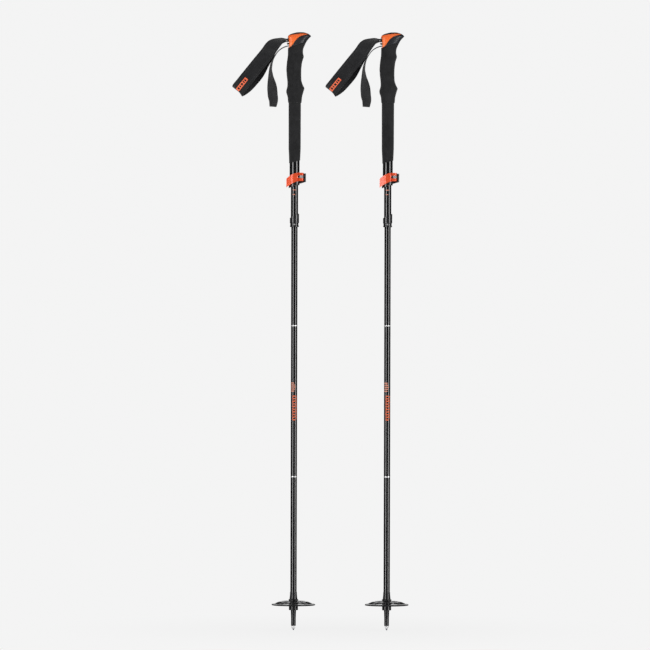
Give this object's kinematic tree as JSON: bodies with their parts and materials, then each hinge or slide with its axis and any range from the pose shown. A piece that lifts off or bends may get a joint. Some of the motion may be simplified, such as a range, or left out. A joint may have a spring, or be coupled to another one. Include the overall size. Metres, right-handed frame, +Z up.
{
  "type": "folding trekking poles",
  "caption": "Pair of folding trekking poles with foam grips, padded wrist straps, a lever clamp, a push-button cord lock, plug-in shaft joints and snow baskets.",
  "frame": {"origin": "on the left pole's axis, at the middle of its palm grip", "axes": "+Z up along the shafts, +X from the left pole to the right one and the way the heads' beaks point"},
  "size_m": [0.3901, 0.096, 1.3142],
  "materials": {
    "head_plastic": "fine moulded texture",
    "accent_plastic": "smooth satin orange",
    "strap_padding": "dense knitted neoprene",
    "webbing": "flat woven webbing",
    "grip_foam": "closed-cell foam, fine grain",
    "shaft_black": "gloss black anodised",
    "black_plastic": "satin black nylon",
    "lever_orange": "satin orange anodised",
    "steel": "bright machined steel",
    "ferrule_aluminium": "bright turned aluminium",
    "cord": "coated braid",
    "tip_plastic": "hard moulded nylon"
  },
  "bodies": {
    "left_grip": {"left_grip_head": "head_plastic", "left_head_panels": "accent_plastic", "left_grip_foam": "grip_foam", "left_lower_foam": "grip_foam", "left_upper_tube": "shaft_black", "left_clamp_body": "black_plastic", "left_clamp_sleeve": "black_plastic", "left_clamp_barrel": "steel"},
    "left_wedge": {"left_strap_wedge": "black_plastic"},
    "left_strap": {"left_strap_loop": "strap_padding", "left_strap_tail": "webbing"},
    "left_lever": {"left_clamp_lever": "lever_orange"},
    "left_screw": {"left_clamp_screw": "steel"},
    "left_middle": {"left_middle_tube": "shaft_black", "left_middle_plug": "black_plastic", "left_lock_collar": "black_plastic", "left_button_spring": "steel", "left_cord_slack": "cord"},
    "left_button": {"left_release_button": "steel"},
    "left_fold_1": {"left_fold_tube_1": "shaft_black", "left_guide_bush": "black_plastic", "left_cord_upper": "cord"},
    "left_fold_2": {"left_fold_tube_2": "shaft_black", "left_ferrule_1": "ferrule_aluminium"},
    "left_fold_3": {"left_fold_tube_3": "shaft_black", "left_ferrule_2": "ferrule_aluminium", "left_cord_lower": "cord", "left_tip_body": "tip_plastic", "left_tip_point": "steel"},
    "left_basket": {"left_basket": "tip_plastic"},
    "right_grip": {"right_grip_head": "head_plastic", "right_head_panels": "accent_plastic", "right_grip_foam": "grip_foam", "right_lower_foam": "grip_foam", "right_upper_tube": "shaft_black", "right_clamp_body": "black_plastic", "right_clamp_sleeve": "black_plastic", "right_clamp_barrel": "steel"},
    "right_wedge": {"right_strap_wedge": "black_plastic"},
    "right_strap": {"right_strap_loop": "strap_padding", "right_strap_tail": "webbing"},
    "right_lever": {"right_clamp_lever": "lever_orange"},
    "right_screw": {"right_clamp_screw": "steel"},
    "right_middle": {"right_middle_tube": "shaft_black", "right_middle_plug": "black_plastic", "right_lock_collar": "black_plastic", "right_button_spring": "steel", "right_cord_slack": "cord"},
    "right_button": {"right_release_button": "steel"},
    "right_fold_1": {"right_fold_tube_1": "shaft_black", "right_guide_bush": "black_plastic", "right_cord_upper": "cord"},
    "right_fold_2": {"right_fold_tube_2": "shaft_black", "right_ferrule_1": "ferrule_aluminium"},
    "right_fold_3": {"right_fold_tube_3": "shaft_black", "right_ferrule_2": "ferrule_aluminium", "right_cord_lower": "cord", "right_tip_body": "tip_plastic", "right_tip_point": "steel"},
    "right_basket": {"right_basket": "tip_plastic"}
  },
  "joints": [
    {"name": "left_strap_swing", "type": "hinge", "parent": "left_grip", "child": "left_strap", "pos_m": [-0.0172, 0, 0.0656], "axis": [0, 1, 0], "range_deg": [0, 35]},
    {"name": "left_wedge_slide", "type": "slide", "parent": "left_grip", "child": "left_wedge", "axis": [-1, 0, 0], "range_m": [0, 0.003]},
    {"name": "left_lever_open", "type": "hinge", "parent": "left_grip", "child": "left_lever", "pos_m": [0.015, -0.0132, -0.2353], "axis": [0, 0, 1], "range_deg": [0, 120]},
    {"name": "left_screw_turn", "type": "hinge", "parent": "left_grip", "child": "left_screw", "pos_m": [0.015, 0, -0.2353], "axis": [0, 1, 0], "continuous": true},
    {"name": "left_length_slide", "type": "slide", "parent": "left_grip", "child": "left_middle", "axis": [0, 0, 1], "range_m": [-0.14, 0.06]},
    {"name": "left_button_press", "type": "slide", "parent": "left_middle", "child": "left_button", "axis": [0, 1, 0], "range_m": [0, 0.0008], "stiffness_N_per_m": 300, "springref_m": -0.001, "deforming": ["left_button_spring"]},
    {"name": "left_tension_slide", "type": "slide", "parent": "left_middle", "child": "left_fold_1", "axis": [0, 0, 1], "range_m": [0, 0.06], "deforming": ["left_cord_slack"]},
    {"name": "left_joint_1_pull", "type": "slide", "parent": "left_fold_1", "child": "left_fold_2", "axis": [0, 0, 1], "range_m": [-0.055, 0], "stiffness_N_per_m": 250, "springref_m": 0.04},
    {"name": "left_joint_2_pull", "type": "slide", "parent": "left_fold_2", "child": "left_fold_3", "axis": [0, 0, 1], "range_m": [-0.055, 0], "stiffness_N_per_m": 250, "springref_m": 0.04},
    {"name": "left_basket_turn", "type": "hinge", "parent": "left_fold_3", "child": "left_basket", "pos_m": [0, 0, -1.175], "axis": [0, 0, 1], "continuous": true},
    {"name": "poles_apart", "type": "slide", "parent": "left_grip", "child": "right_grip", "axis": [1, 0, 0], "range_m": [0, 0.3]},
    {"name": "right_strap_swing", "type": "hinge", "parent": "right_grip", "child": "right_strap", "pos_m": [0.1878, 0, 0.0656], "axis": [0, 1, 0], "range_deg": [0, 35]},
    {"name": "right_wedge_slide", "type": "slide", "parent": "right_grip", "child": "right_wedge", "axis": [-1, 0, 0], "range_m": [0, 0.003]},
    {"name": "right_lever_open", "type": "hinge", "parent": "right_grip", "child": "right_lever", "pos_m": [0.22, -0.0132, -0.2353], "axis": [0, 0, 1], "range_deg": [0, 120]},
    {"name": "right_screw_turn", "type": "hinge", "parent": "right_grip", "child": "right_screw", "pos_m": [0.22, 0, -0.2353], "axis": [0, 1, 0], "continuous": true},
    {"name": "right_length_slide", "type": "slide", "parent": "right_grip", "child": "right_middle", "axis": [0, 0, 1], "range_m": [-0.14, 0.06]},
    {"name": "right_button_press", "type": "slide", "parent": "right_middle", "child": "right_button", "axis": [0, 1, 0], "range_m": [0, 0.0008], "stiffness_N_per_m": 300, "springref_m": -0.001, "deforming": ["right_button_spring"]},
    {"name": "right_tension_slide", "type": "slide", "parent": "right_middle", "child": "right_fold_1", "axis": [0, 0, 1], "range_m": [0, 0.06], "deforming": ["right_cord_slack"]},
    {"name": "right_joint_1_pull", "type": "slide", "parent": "right_fold_1", "child": "right_fold_2", "axis": [0, 0, 1], "range_m": [-0.055, 0], "stiffness_N_per_m": 250, "springref_m": 0.04},
    {"name": "right_joint_2_pull", "type": "slide", "parent": "right_fold_2", "child": "right_fold_3", "axis": [0, 0, 1], "range_m": [-0.055, 0], "stiffness_N_per_m": 250, "springref_m": 0.04},
    {"name": "right_basket_turn", "type": "hinge", "parent": "right_fold_3", "child": "right_basket", "pos_m": [0.205, 0, -1.175], "axis": [0, 0, 1], "continuous": true}
  ]
}
